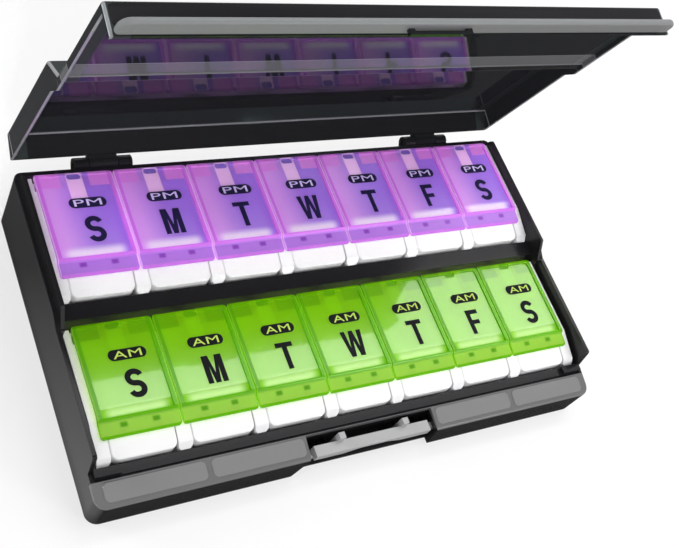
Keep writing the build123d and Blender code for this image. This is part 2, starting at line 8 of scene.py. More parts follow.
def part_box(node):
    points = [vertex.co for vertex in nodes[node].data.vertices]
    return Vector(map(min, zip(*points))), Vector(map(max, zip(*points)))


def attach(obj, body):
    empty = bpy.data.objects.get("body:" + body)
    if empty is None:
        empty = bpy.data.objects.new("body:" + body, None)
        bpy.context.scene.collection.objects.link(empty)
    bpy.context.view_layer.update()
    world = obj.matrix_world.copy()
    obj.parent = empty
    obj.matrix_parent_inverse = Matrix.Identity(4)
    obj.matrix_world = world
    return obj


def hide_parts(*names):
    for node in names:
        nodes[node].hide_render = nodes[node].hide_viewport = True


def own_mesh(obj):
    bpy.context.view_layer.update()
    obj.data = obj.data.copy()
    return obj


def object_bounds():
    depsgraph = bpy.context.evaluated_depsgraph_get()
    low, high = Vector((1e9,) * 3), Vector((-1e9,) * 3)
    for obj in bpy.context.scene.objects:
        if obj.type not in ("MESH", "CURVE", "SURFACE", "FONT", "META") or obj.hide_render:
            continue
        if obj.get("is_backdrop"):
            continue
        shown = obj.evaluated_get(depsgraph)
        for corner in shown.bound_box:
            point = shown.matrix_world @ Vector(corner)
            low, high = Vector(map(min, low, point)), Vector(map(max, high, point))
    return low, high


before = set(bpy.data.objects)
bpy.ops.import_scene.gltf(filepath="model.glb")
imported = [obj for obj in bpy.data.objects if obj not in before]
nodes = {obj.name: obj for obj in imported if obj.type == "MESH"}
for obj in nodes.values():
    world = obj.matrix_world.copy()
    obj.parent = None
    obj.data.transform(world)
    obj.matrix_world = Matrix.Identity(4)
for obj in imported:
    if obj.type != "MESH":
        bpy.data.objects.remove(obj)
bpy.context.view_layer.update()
scene = bpy.context.scene
scene.view_settings.view_transform = "Standard"

# Table: a flat sheet of matt white paper that the case stands on.
# Seen or mirrored, over half of its white is a glow, and the rest keeps the case's soft shadow.
def flat_sheet(name, half, height=0.0, shift=0.0):
    left, right = shift - half, shift + half
    corners = [(left, -half), (right, -half), (right, half), (left, half)]
    mesh = bpy.data.meshes.new(name)
    mesh.from_pydata([(x, y, height) for x, y in corners], [], [(0, 1, 2, 3)])
    sheet = bpy.data.objects.new(name, mesh)
    scene.collection.objects.link(sheet)
    return sheet


def matt(name, grey):
    finish = bpy.data.materials.new(name)
    finish.use_nodes = True
    skin = finish.node_tree.nodes["Principled BSDF"]
    skin.inputs["Base Color"].default_value = (grey, grey, grey, 1)
    skin.inputs["Roughness"].default_value = 0.9
    skin.inputs["Specular IOR Level"].default_value = 0.0
    return finish


def maths(net, operation, first, second=None):
    node = net.nodes.new("ShaderNodeMath")
    node.operation = operation
    for socket, value in zip(node.inputs, (first, second)):
        if isinstance(value, (int, float)):
            socket.default_value = value
        elif value is not None:
            net.links.new(value, socket)
    return node.outputs[0]


def seen_or_mirrored(net):
    rays = net.nodes.new("ShaderNodeLightPath").outputs
    bounced = maths(net, "MAXIMUM", rays["Is Glossy Ray"], rays["Is Transmission Ray"])
    return maths(net, "MAXIMUM", rays["Is Camera Ray"], bounced)


floor = flat_sheet("table_sweep", half=3.0)
paper = matt("white_paper", grey=0.9)
net = paper.node_tree
glow_share = 0.6
glow = net.nodes.new("ShaderNodeEmission")
glow.inputs["Strength"].default_value = 1.0
blend = net.nodes.new("ShaderNodeMixShader")
net.links.new(maths(net, "MULTIPLY", seen_or_mirrored(net), glow_share), blend.inputs[0])
net.links.new(net.nodes["Principled BSDF"].outputs[0], blend.inputs[1])
net.links.new(glow.outputs[0], blend.inputs[2])
net.links.new(blend.outputs[0], net.nodes["Material Output"].inputs["Surface"])
floor.data.materials.append(paper)
floor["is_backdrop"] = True

# Dark cards: one lies round the case and one hangs above the lamps, as in a product studio.
# They are seen only in the polish of the black mouldings, as painted dark reflections that keep
# them deep, and the lower one has a painted glow along the left side, which the wall mirrors as a
# painted sheen towards the front.
def dark_card(name, half, height, shift):
    card = flat_sheet(name, half, height, shift)
    card.visible_camera = False
    card.visible_diffuse = False
    card.visible_transmission = False
    card.visible_volume_scatter = False
    card.visible_shadow = False
    card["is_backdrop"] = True
    felt = matt(name + "_felt", grey=0.05)
    card.data.materials.append(felt)
    return felt


def place_axes(net):
    spot = net.nodes.new("ShaderNodeTexCoord")
    split = net.nodes.new("ShaderNodeSeparateXYZ")
    net.links.new(spot.outputs["Object"], split.inputs[0])
    return split.outputs


def ramp(net, value, start, end, least=0.0, most=1.0, smooth=False):
    node = net.nodes.new("ShaderNodeMapRange")
    if smooth:
        node.interpolation_type = "SMOOTHSTEP"
    net.links.new(value, node.inputs["Value"])
    node.inputs["From Min"].default_value = start
    node.inputs["From Max"].default_value = end
    node.inputs["To Min"].default_value = least
    node.inputs["To Max"].default_value = most
    return node.outputs[0]


dark_card("card_above", half=1.6, height=0.9, shift=0.4)
net = dark_card("card_below", half=0.6, height=0.0005, shift=0.0).node_tree
# Painted glow on the lower card, strongest beside the left wall and towards the front; the wall
# mirrors it as a painted sheen.
spot = place_axes(net)
left_of_case, under_wall = -0.113, -0.107
painted_sheen_back, painted_sheen_front = 0.04, -0.07
near_side = ramp(net, spot["X"], left_of_case, under_wall, least=1.0, most=0.04)
to_front = ramp(net, spot["Y"], painted_sheen_back, painted_sheen_front, least=0.09, most=0.7)
glow_card_skin = net.nodes["Principled BSDF"]
net.links.new(maths(net, "MULTIPLY", near_side, to_front), glow_card_skin.inputs["Emission Color"])
glow_card_skin.inputs["Emission Strength"].default_value = 1.0

# Studio: pale walls all round and a large softbox flat above the right half of the case, with a
# strip behind it that the lids mirror. A fill lamp behind the camera reaches the cells under the
# open lid, a narrow gridded strip the back row, and two small low lamps draw the bright edges.
world = bpy.data.worlds.new("pale_studio")
scene.world = world
world.use_nodes = True
sky = world.node_tree
wall_light = sky.nodes["Background"]
wall_light.inputs["Color"].default_value = (1, 1, 1, 1)
wall_light.inputs["Strength"].default_value = 0.32
seen = sky.nodes.new("ShaderNodeBackground")
seen.inputs["Color"].default_value = (1, 1, 1, 1)
pick = sky.nodes.new("ShaderNodeMixShader")
sky.links.new(seen_or_mirrored(sky), pick.inputs[0])
sky.links.new(wall_light.outputs[0], pick.inputs[1])
sky.links.new(seen.outputs[0], pick.inputs[2])
sky.links.new(pick.outputs[0], sky.nodes["World Output"].inputs["Surface"])


def softbox(name, place, aim, size, watts, mirrored=True, spread=180):
    lamp = bpy.data.lights.new(name, "AREA")
    lamp.shape = "RECTANGLE"
    lamp.size, lamp.size_y = size
    lamp.energy = watts
    lamp.spread = math.radians(spread)
    box = bpy.data.objects.new(name, lamp)
    box.location = place
    box.rotation_euler = (Vector(aim) - Vector(place)).to_track_quat("-Z", "Y").to_euler()
    box.visible_camera = False
    box.visible_glossy = mirrored
    scene.collection.objects.link(box)


softbox(
    "softbox_above",
    place=(0.52, 0.06, 0.85),
    aim=(0.52, 0.06, 0.0),
    size=(1.05, 0.64),
    watts=5.0,
    mirrored=False,
)
softbox(
    "softbox_back",
    place=(0.52, 0.315, 0.845),
    aim=(0.52, 0.315, 0.0),
    size=(1.05, 0.15),
    watts=2.0,
)
softbox(
    "softbox_fill",
    place=(-0.45, -0.75, 0.8),
    aim=(0.0, 0.02, 0.03),
    size=(0.7, 0.7),
    watts=4.4,
)
softbox(
    "grid_strip",
    place=(-0.25, -0.62, 0.5),
    aim=(0.0, 0.036, 0.03),
    size=(0.26, 0.03),
    watts=0.022,
    mirrored=False,
    spread=8,
)
softbox(
    "strip_left",
    place=(-0.8, 0.42, 0.36),
    aim=(0.0, 0.0, 0.05),
    size=(0.26, 0.26),
    watts=2.4,
)
softbox(
    "strip_front",
    place=(0.5, -0.66, 0.4),
    aim=(0.0, 0.0, 0.03),
    size=(0.22, 0.18),
    watts=1.6,
)

# Camera: close above the left front corner, rolled so that the rows climb to the right.
# Its place and turn come from the corners of the rows as the photograph shows them.
sensor_wide, focal_pixels, picture_wide = 36.0, 1088.7, 679
lens = bpy.data.cameras.new("photo_camera")
lens.sensor_fit = "HORIZONTAL"
lens.sensor_width = sensor_wide
lens.lens = sensor_wide * focal_pixels / picture_wide
lens.clip_start = 0.01
camera = bpy.data.objects.new("photo_camera", lens)
turn = Matrix(((0.8457, 0.1184, -0.5203), (-0.3533, 0.8550, -0.3797), (0.3999, 0.5049, 0.7649)))
camera.matrix_world = Matrix.Translation((-0.2197, -0.1593, 0.3581)) @ turn.to_4x4()
scene.collection.objects.link(camera)
scene.camera = camera

# Case base: one black polished moulding with floor, walls, cross wall, ledge and flange.
# The polish has the faint ripple of a moulded part, a little haze from handling, and rounded edges.
# The front flange is painted dark grey and its raised pads a little paler, partly their own tone
# and partly a painted sheen on their tops.
ripple = bpy.data.node_groups.new("moulded_ripple", "ShaderNodeTree")
for label in ("Size", "Haze", "Shine"):
    ripple.interface.new_socket(label, in_out="INPUT", socket_type="NodeSocketFloat")
for label in ("Height", "Roughness"):
    ripple.interface.new_socket(label, in_out="OUTPUT", socket_type="NodeSocketFloat")
r_in = ripple.nodes.new("NodeGroupInput")
r_out = ripple.nodes.new("NodeGroupOutput")
r_place = ripple.nodes.new("ShaderNodeTexCoord")
r_fine = ripple.nodes.new("ShaderNodeTexNoise")
r_fine.inputs["Detail"].default_value = 2.0
r_wide = ripple.nodes.new("ShaderNodeTexNoise")
r_wide.inputs["Scale"].default_value = 26.0
r_wide.inputs["Detail"].default_value = 4.0
ripple.links.new(r_place.outputs["Object"], r_fine.inputs["Vector"])
ripple.links.new(r_place.outputs["Object"], r_wide.inputs["Vector"])
ripple.links.new(r_in.outputs["Size"], r_fine.inputs["Scale"])
r_haze = maths(ripple, "MULTIPLY", r_wide.outputs["Fac"], r_in.outputs["Haze"])
r_dull = maths(ripple, "ADD", r_haze, r_in.outputs["Shine"])
ripple.links.new(r_fine.outputs["Fac"], r_out.inputs["Height"])
ripple.links.new(r_dull, r_out.inputs["Roughness"])


def rippled(net, size, haze, shine):
    group = net.nodes.new("ShaderNodeGroup")
    group.name = "ripple"
    group.node_tree = ripple
    group.inputs["Size"].default_value = size
    group.inputs["Haze"].default_value = haze
    group.inputs["Shine"].default_value = shine
    return group.outputs


def moulding(name, colour, shine, haze, size, bump, specular=0.5):
    finish = bpy.data.materials.new(name)
    finish.use_nodes = True
    net = finish.node_tree
    skin = net.nodes["Principled BSDF"]
    skin.inputs["Base Color"].default_value = (*colour, 1)
    skin.inputs["Specular IOR Level"].default_value = specular
    surface = rippled(net, size, haze, shine)
    relief = net.nodes.new("ShaderNodeBump")
    relief.inputs["Strength"].default_value = bump
    relief.inputs["Distance"].default_value = 0.0002
    net.links.new(surface["Roughness"], skin.inputs["Roughness"])
    net.links.new(surface["Height"], relief.inputs["Height"])
    net.links.new(relief.outputs["Normal"], skin.inputs["Normal"])
    return finish


def mixed(net, mask, under, over):
    node = net.nodes.new("ShaderNodeMix")
    node.data_type = "RGBA"
    net.links.new(mask, node.inputs[0])
    colour_a, colour_b = node.inputs[6], node.inputs[7]
    for socket, colour in ((colour_a, under), (colour_b, over)):
        if isinstance(colour, tuple):
            socket.default_value = (*colour, 1)
        else:
            net.links.new(colour, socket)
    return node.outputs[2]


def dress(name, finish, rounding=0.0):
    piece = nodes[name]
    piece.data.materials.clear()
    piece.data.materials.append(finish)
    if rounding:
        weld = piece.modifiers.new("joined_faces", "WELD")
        weld.merge_threshold = 0.00001
        edge = piece.modifiers.new("rounded_edges", "BEVEL")
        edge.width = rounding
        edge.segments = 2
        edge.limit_method = "ANGLE"
        edge.angle_limit = math.radians(40)
        smooth = piece.modifiers.new("even_shading", "WEIGHTED_NORMAL")
        smooth.keep_sharp = False


black, gap_grey_and_sheen, pad_grey_and_sheen = (0.014, 0.0135, 0.015), (0.155, 0.154, 0.157), (0.22, 0.219, 0.222)
case_black = moulding("case_black", black, shine=0.15, haze=0.12, size=900, bump=0.03, specular=0.3)
net = case_black.node_tree
spot = place_axes(net)
flange_low, flange_back = 0.0138, -0.0533
soft_up, soft_out = 0.0004, 0.0002
above = ramp(net, spot["Z"], flange_low, flange_low + soft_up)
before = ramp(net, spot["Y"], flange_back, flange_back - soft_out)
on_flange = maths(net, "MULTIPLY", above, before)
slope, plane_z, plane_y, pad_rise = 1.5 / 8.8, 0.0164, -0.053, 0.00045
plane_start = plane_z - plane_y * slope
over_slope = maths(net, "SUBTRACT", spot["Z"], maths(net, "MULTIPLY", spot["Y"], slope))
on_pad = ramp(net, over_slope, plane_start + pad_rise * 0.4, plane_start + pad_rise * 0.8)
# Flange and pad greys: partly their own tone, partly a painted sheen on the flange top.
flange_tone_and_sheen = mixed(net, on_pad, gap_grey_and_sheen, pad_grey_and_sheen)
case_tone = mixed(net, on_flange, black, flange_tone_and_sheen)
net.links.new(case_tone, net.nodes["Principled BSDF"].inputs["Base Color"])
dress("case_base", case_black, rounding=0.0004)

# Hinge pins: blued steel, pushed into the knuckles of the two barrel hinges.
# The drawn wire keeps a fine dull grain under the blue.
steel = (0.07, 0.07, 0.085)
blued_steel = moulding("blued_steel", steel, shine=0.22, haze=0.2, size=2500, bump=0.04)
blued_steel.node_tree.nodes["Principled BSDF"].inputs["Metallic"].default_value = 1.0
for name in nodes:
    if "_pin_" in name:
        dress(name, blued_steel)

# Return springs: bowed leaves of blued steel, one under every button and two behind the latch bar.
# They sit in pockets of the trays and in the latch recess. Each is a welded copy of its solid,
# with a mesh of its own, carried by the case.
for name in list(nodes):
    if "button_spring" in name or name == "latch_springs":
        low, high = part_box(name)
        form = bmesh.new()
        form.from_mesh(nodes[name].data)
        bmesh.ops.remove_doubles(form, verts=form.verts, dist=0.000001)
        leaf_mesh = bpy.data.meshes.new(name + "_wire")
        form.to_mesh(leaf_mesh)
        form.free()
        leaf_mesh.materials.append(blued_steel)
        leaf = bpy.data.objects.new(name + "_wire", leaf_mesh)
        scene.collection.objects.link(leaf)
        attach(leaf, "case")
        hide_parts(name)
        if name == "latch_springs":
            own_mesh(leaf)
        else:
            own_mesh(leaf)

# Trays, lid springs and buttons: white satin mouldings.
# Two trays hold seven cells each, and every cell has a button and a spring tongue of the same
# plastic, which drop into their seats in the tray.
white = (0.88, 0.88, 0.885)
tray_white = moulding("tray_white", white, shine=0.24, haze=0.12, size=1100, bump=0.04)
for name in nodes:
    is_button = "_button_" in name and "spring" not in name
    if is_button or name.endswith(("_tray", "_lid_springs")):
        dress(name, tray_white)

# Ejector marks: a thin raised ring on the floor of every cell, left by the moulding tool.
# One set lies in each tray, seven rings at the spacing of the cells.
pitch, cells_in_row = 0.03, 7
tray_floor = 0.0015
ring_radius, ring_wire, ring_from_back = 0.0032, 0.00014, 0.022
mark_tree = bpy.data.node_groups.new("ejector_marks", "GeometryNodeTree")
mark_tree.interface.new_socket("Spacing", in_out="INPUT", socket_type="NodeSocketFloat")
mark_tree.interface.new_socket("Radius", in_out="INPUT", socket_type="NodeSocketFloat")
mark_tree.interface.new_socket("Start", in_out="INPUT", socket_type="NodeSocketVector")
mark_tree.interface.new_socket("Finish", in_out="INPUT", socket_type="NodeSocketMaterial")
mark_tree.interface.new_socket("Rings", in_out="OUTPUT", socket_type="NodeSocketGeometry")
m_in = mark_tree.nodes.new("NodeGroupInput")
m_out = mark_tree.nodes.new("NodeGroupOutput")
m_step = mark_tree.nodes.new("ShaderNodeCombineXYZ")
m_line = mark_tree.nodes.new("GeometryNodeMeshLine")
m_line.inputs["Count"].default_value = cells_in_row
m_path = mark_tree.nodes.new("GeometryNodeCurvePrimitiveCircle")
m_path.inputs["Resolution"].default_value = 40
m_edge = mark_tree.nodes.new("GeometryNodeCurvePrimitiveCircle")
m_edge.inputs["Resolution"].default_value = 8
m_edge.inputs["Radius"].default_value = ring_wire
m_tube = mark_tree.nodes.new("GeometryNodeCurveToMesh")
m_set = mark_tree.nodes.new("GeometryNodeInstanceOnPoints")
m_real = mark_tree.nodes.new("GeometryNodeRealizeInstances")
m_paint = mark_tree.nodes.new("GeometryNodeSetMaterial")
mark_tree.links.new(m_in.outputs["Spacing"], m_step.inputs["X"])
mark_tree.links.new(m_in.outputs["Start"], m_line.inputs["Start Location"])
mark_tree.links.new(m_step.outputs[0], m_line.inputs["Offset"])
mark_tree.links.new(m_in.outputs["Radius"], m_path.inputs["Radius"])
mark_tree.links.new(m_path.outputs["Curve"], m_tube.inputs["Curve"])
mark_tree.links.new(m_edge.outputs["Curve"], m_tube.inputs["Profile Curve"])
mark_tree.links.new(m_line.outputs["Mesh"], m_set.inputs["Points"])
mark_tree.links.new(m_tube.outputs["Mesh"], m_set.inputs["Instance"])
mark_tree.links.new(m_set.outputs["Instances"], m_real.inputs["Geometry"])
mark_tree.links.new(m_real.outputs["Geometry"], m_paint.inputs["Geometry"])
mark_tree.links.new(m_in.outputs["Finish"], m_paint.inputs["Material"])
mark_tree.links.new(m_paint.outputs["Geometry"], m_out.inputs["Rings"])


def plain_mesh(maker):
    bpy.context.view_layer.update()
    made = maker.evaluated_get(bpy.context.evaluated_depsgraph_get())
    mesh = bpy.data.meshes.new_from_object(made)
    bpy.data.objects.remove(maker)
    return mesh


for row in ("pm", "am"):
    floor_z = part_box(row + "_tray")[0].z + tray_floor
    back_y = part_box(row + "_lid_sunday")[1].y
    seed = bpy.data.objects.new("ring_seed", bpy.data.meshes.new("ring_seed"))
    scene.collection.objects.link(seed)
    ring_maker = seed.modifiers.new("rings", "NODES")
    ring_maker.node_group = mark_tree
    values = {
        "Spacing": pitch,
        "Radius": ring_radius,
        "Start": (-pitch * (cells_in_row // 2), back_y - ring_from_back, floor_z),
        "Finish": tray_white,
    }
    for socket in mark_tree.interface.items_tree:
        if socket.in_out == "INPUT":
            ring_maker[socket.identifier] = values[socket.name]
    ring_mesh = plain_mesh(seed)
    ring_mesh.name = row + "_ejector_marks"
    rings = bpy.data.objects.new(row + "_ejector_marks", ring_mesh)
    scene.collection.objects.link(rings)
    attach(rings, "case")

# Latch: grey sliding bar with two catch posts, in the gap of the front flange.
# It is a satin moulding, so its sloping front shows the light as one soft grey field.
latch_grey = moulding("latch_grey", (0.4, 0.4, 0.405), shine=0.3, haze=0.15, size=1400, bump=0.08)
dress("latch_button", latch_grey, rounding=0.0003)

# Compartment lids: clear tinted mouldings, violet for the evening row, green for the morning row.
# Each turns on lugs of its tray. Rims and hinge blocks are thicker than the face and take a fuller
# tint, and the lid spring shows through as a pale tongue. The rolled front edge carries a painted
# highlight, the outer edges of the violet lids carry painted highlight lines, and each lid is
# painted lighter towards its left side as painted light.
tint = bpy.data.node_groups.new("lid_tint", "ShaderNodeTree")
for label in ("Face", "Side", "Rim", "Edge", "Hinge", "Tongue", "Highlight", "Lip", "Barb"):
    tint.interface.new_socket(label, in_out="INPUT", socket_type="NodeSocketColor")
tint.interface.new_socket("Back", in_out="INPUT", socket_type="NodeSocketFloat")
tint.interface.new_socket("Color", in_out="OUTPUT", socket_type="NodeSocketColor")
tint.interface.new_socket("Gloss", in_out="OUTPUT", socket_type="NodeSocketFloat")
t_in = tint.nodes.new("NodeGroupInput").outputs
t_out = tint.nodes.new("NodeGroupOutput").inputs
spot = place_axes(tint)

# Where each zone starts and is full, across from the lid's middle or along from its back edge.
side_fade = (0.003, -0.0125)
tongue_side, tongue_end = (0.0033, 0.0028), (0.0142, 0.0132)
block_side, block_end = (0.0052, 0.0057), (0.0068, 0.0063)
# Painted highlight: a pale band on the rolled front edge, with a faint fade up the face before it.
highlight_fade, highlight_band, highlight_side = (0.013, 0.034), (0.0312, 0.0348), (0.0128, 0.0085)
lead_share, band_share = 0.1, 0.9
rim_side, rim_front = (0.0126, 0.0132), (0.0353, 0.0360)
lip_start, lip_front = (0.0369, 0.0374), (0.0416, 0.0421)
barb_aside, barb_along = 0.0059, 0.0388
barb_half, barb_deep = (0.0019, 0.0007), (0.0013, 0.0004)
edge_side, edge_back = (0.0142, 0.0145), (0.0008, 0.0004)
dull_back, dull_share = (0.0024, 0.0018), 0.97


def zone(value, edge):
    return ramp(tint, value, *edge, smooth=True)


def shared(first, second):
    return maths(tint, "MULTIPLY", first, second)


def either(first, second):
    return maths(tint, "MAXIMUM", first, second)


cells = maths(tint, "ADD", maths(tint, "DIVIDE", spot["X"], pitch), 0.5)
across = shared(maths(tint, "SUBTRACT", maths(tint, "FRACT", cells), 0.5), pitch)
aside = maths(tint, "ABSOLUTE", across)
along = maths(tint, "SUBTRACT", t_in["Back"], spot["Y"])
# Painted light: each lid is painted lighter towards its left side.
shade = mixed(tint, zone(across, side_fade), t_in["Face"], t_in["Side"])
tongue = shared(zone(aside, tongue_side), zone(along, tongue_end))
shade = mixed(tint, tongue, shade, t_in["Tongue"])
block = shared(zone(aside, block_side), zone(along, block_end))
shade = mixed(tint, block, shade, t_in["Hinge"])
lead = shared(zone(along, highlight_fade), lead_share)
band = shared(zone(along, highlight_band), band_share)
painted_highlight = shared(maths(tint, "ADD", lead, band), zone(aside, highlight_side))
shade = mixed(tint, painted_highlight, shade, t_in["Highlight"])
rim = either(zone(aside, rim_side), zone(along, rim_front))
shade = mixed(tint, rim, shade, t_in["Rim"])
shade = mixed(tint, zone(along, lip_start), shade, t_in["Lip"])
from_barb_x = maths(tint, "ABSOLUTE", maths(tint, "SUBTRACT", aside, barb_aside))
from_barb_y = maths(tint, "ABSOLUTE", maths(tint, "SUBTRACT", along, barb_along))
barb = shared(zone(from_barb_x, barb_half), zone(from_barb_y, barb_deep))
shade = mixed(tint, barb, shade, t_in["Barb"])
shade = mixed(tint, zone(along, lip_front), shade, t_in["Rim"])
# Painted highlight lines: the outer sides and back edge take the Edge colour, pale on the violet
# lids.
edge = either(zone(aside, edge_side), zone(along, edge_back))
shade = mixed(tint, edge, shade, t_in["Edge"])
tint.links.new(shade, t_out["Color"])
dulled = shared(either(rim, zone(along, dull_back)), dull_share)
tint.links.new(maths(tint, "SUBTRACT", 1.0, dulled), t_out["Gloss"])


def tinted(name, colours, back, passing):
    plastic_ior = 1.49
    finish = bpy.data.materials.new(name)
    finish.use_nodes = True
    net = finish.node_tree
    skin = net.nodes["Principled BSDF"]
    skin.inputs["Transmission Weight"].default_value = 0.4
    skin.inputs["IOR"].default_value = plastic_ior
    skin.inputs["Specular IOR Level"].default_value = 0.18
    skin.inputs["Coat Roughness"].default_value = 0.05
    skin.inputs["Coat IOR"].default_value = plastic_ior
    depth = net.nodes.new("ShaderNodeGroup")
    depth.node_tree = tint
    depth.inputs["Back"].default_value = back
    for label, colour in colours.items():
        depth.inputs[label].default_value = (*colour, 1)
    net.links.new(depth.outputs["Color"], skin.inputs["Base Color"])
    net.links.new(depth.outputs["Gloss"], skin.inputs["Coat Weight"])
    surface = rippled(net, size=500, haze=0.08, shine=0.2)
    net.links.new(surface["Roughness"], skin.inputs["Roughness"])
    clear = net.nodes.new("ShaderNodeBsdfTransparent")
    clear.inputs["Color"].default_value = (*passing, 1)
    lit = net.nodes.new("ShaderNodeLightPath")
    mix = net.nodes.new("ShaderNodeMixShader")
    net.links.new(lit.outputs["Is Shadow Ray"], mix.inputs[0])
    net.links.new(skin.outputs[0], mix.inputs[1])
    net.links.new(clear.outputs[0], mix.inputs[2])
    net.links.new(mix.outputs[0], net.nodes["Material Output"].inputs["Surface"])
    return finish


violet = {
    "Face": (0.47, 0.235, 0.89),
    # Side: the lighter left side of each lid, painted light
    "Side": (0.84, 0.44, 0.97),
    "Rim": (0.72, 0.23, 0.84),
    # Edge: pale lines along the outer sides and back, painted highlights
    "Edge": (0.95, 0.6, 1.0),
    "Hinge": (0.9, 0.34, 0.95),
    "Tongue": (1.0, 0.68, 1.0),
    # the painted highlight on the rolled front edge
    "Highlight": (1.0, 0.93, 1.0),
    "Lip": (0.52, 0.25, 0.76),
    "Barb": (0.28, 0.07, 0.48),
}
green = {
    "Face": (0.25, 0.58, 0.001),
    # Side: the lighter left side of each lid, painted light
    "Side": (0.27, 0.62, 0.001),
    "Rim": (0.14, 0.45, 0.0),
    "Edge": (0.27, 0.6, 0.005),
    "Hinge": (0.2, 0.52, 0.0),
    "Tongue": (0.27, 0.62, 0.002),
    # the painted highlight on the rolled front edge
    "Highlight": (0.66, 0.9, 0.42),
    "Lip": (0.34, 0.6, 0.06),
    "Barb": (0.1, 0.34, 0.0),
}
pm_back, am_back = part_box("pm_lid_sunday")[1].y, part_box("am_lid_sunday")[1].y
lid_violet = tinted("lid_violet", violet, pm_back, passing=(0.9, 0.75, 0.98))
lid_green = tinted("lid_green", green, am_back, passing=(0.85, 0.97, 0.5))
days = ("sunday", "monday", "tuesday", "wednesday", "thursday", "friday", "saturday")
for day in days:
    dress("pm_lid_" + day, lid_violet, rounding=0.0002)
    dress("am_lid_" + day, lid_green, rounding=0.0002)

# Marks on the lids: a pill-shaped badge with the time of day and the first letter of the weekday.
# They are screen-printed on the recessed face, so they stand up by no more than the ink.
# The notch at the back of each lid holds a thin dark tinted sheet, painted shade where the hole
# looks into the dark.
def ink(name, colour, shine, specular=0.5):
    return moulding(name, colour, shine, haze=0.1, size=3000, bump=0.02, specular=specular)


def notch_shade_sheet(name, colour):
    return moulding(name, colour, shine=0.3, haze=0.1, size=900, bump=0.02, specular=0.2)


ink_navy = ink("ink_navy", (0.012, 0.010, 0.05), shine=0.6, specular=0.15)
ink_black = ink("ink_black", (0.010, 0.010, 0.012), shine=0.6, specular=0.15)
ink_lilac = ink("ink_lilac", (0.66, 0.54, 0.9), shine=0.4)
ink_lime = ink("ink_lime", (0.55, 0.75, 0.12), shine=0.4)
# Sheets for the notches: painted shade, dark violet in the evening row and deep green in the
# morning row.
notch_shade_violet = notch_shade_sheet("notch_shade_violet", (0.2, 0.12, 0.48))
notch_shade_green = notch_shade_sheet("notch_shade_green", (0.11, 0.34, 0.001))


def small_print(word, long, high):
    line = bpy.data.curves.new("small_print", "FONT")
    line.body = word
    line.resolution_u = 6
    line.space_character = 1.05
    holder = bpy.data.objects.new("small_print", line)
    scene.collection.objects.link(holder)
    shape = plain_mesh(holder)
    xs = [v.co.x for v in shape.vertices]
    ys = [v.co.y for v in shape.vertices]
    middle = Matrix.Translation((-(min(xs) + max(xs)) / 2, -(min(ys) + max(ys)) / 2, 0))
    fit = Matrix.Diagonal((long / (max(xs) - min(xs)), high / (max(ys) - min(ys)), 1, 1))
    shape.transform(fit @ middle)
    return shape


def badge(long, wide):
    shape = bpy.data.meshes.new("badge")
    points, turns = [], 16
    for side in (1, -1):
        for k in range(turns + 1):
            angle = math.pi * (k / turns - 0.5)
            out = (long - wide) / 2 + wide / 2 * math.cos(angle)
            points.append((side * out, side * wide / 2 * math.sin(angle), 0))
    shape.from_pydata(points, [], [range(len(points))])
    return shape


# Plain block letters: the fractions are shares of the height, the half width or the stroke.
def day_letter(letter, high, bold):
    wide = {"S": 0.63, "M": 0.72, "T": 0.66, "W": 0.86, "F": 0.56}[letter] * high
    half = wide / 2
    slim = bold * 0.92
    top = high - slim
    if letter == "T":
        outlines = [
            [(-half, top), (half, top), (half, high), (-half, high)],
            [(-bold / 2, 0), (bold / 2, 0), (bold / 2, top), (-bold / 2, top)],
        ]
    elif letter == "F":
        stem, arm, bar = bold - half, half * 0.8, high * 0.4
        outlines = [
            [(-half, 0), (stem, 0), (stem, high), (-half, high)],
            [(stem, top), (half, top), (half, high), (stem, high)],
            [(stem, bar), (arm, bar), (arm, bar + slim), (stem, bar + slim)],
        ]
    elif letter == "M":
        stem = half - bold
        right = [(bold * 0.46, 0), (stem, high * 0.6), (stem, 0), (half, 0), (half, high)]
        right += [(half - bold * 1.25, high), (0, high * 0.36)]
        outlines = [right + [(-x, y) for x, y in reversed(right[:-1])]]
    elif letter == "W":
        foot = half * 0.44
        right = [(0, high * 0.62), (foot - bold * 0.5, 0), (foot + bold * 0.5, 0), (half, high)]
        right += [(half - bold, high), (foot, high * 0.34), (bold * 0.45, high)]
        outlines = [right + [(-x, y) for x, y in reversed(right[1:])]]
    else:
        bow_x, bow_y = half - bold / 2, (high / 2 - bold / 2) / 2
        upper, lower = high - bold / 2 - bow_y, bold / 2 + bow_y
        start, sweep, turns = 18, 252, 24
        spine = []
        for k in range(turns + 1):
            angle = math.radians(start + sweep * k / turns)
            spine.append((bow_x * math.cos(angle), upper + bow_y * math.sin(angle)))
        for k in range(1, turns + 1):
            angle = math.radians(90 - sweep * k / turns)
            spine.append((bow_x * math.cos(angle), lower + bow_y * math.sin(angle)))
        left, right = [], []
        for k, (x, y) in enumerate(spine):
            ahead, behind = spine[min(k + 1, len(spine) - 1)], spine[max(k - 1, 0)]
            run = Vector((ahead[0] - behind[0], ahead[1] - behind[1])).normalized() * bold / 2
            left.append((x - run.y, y + run.x))
            right.append((x + run.y, y - run.x))
        outlines = [[left[k], left[k + 1], right[k + 1], right[k]] for k in range(len(spine) - 1)]
    points, faces = [], []
    for outline in outlines:
        faces.append(range(len(points), len(points) + len(outline)))
        points += [(x, y - high / 2, 0) for x, y in outline]
    shape = bpy.data.meshes.new("day_letter")
    shape.from_pydata(points, [], faces)
    return shape


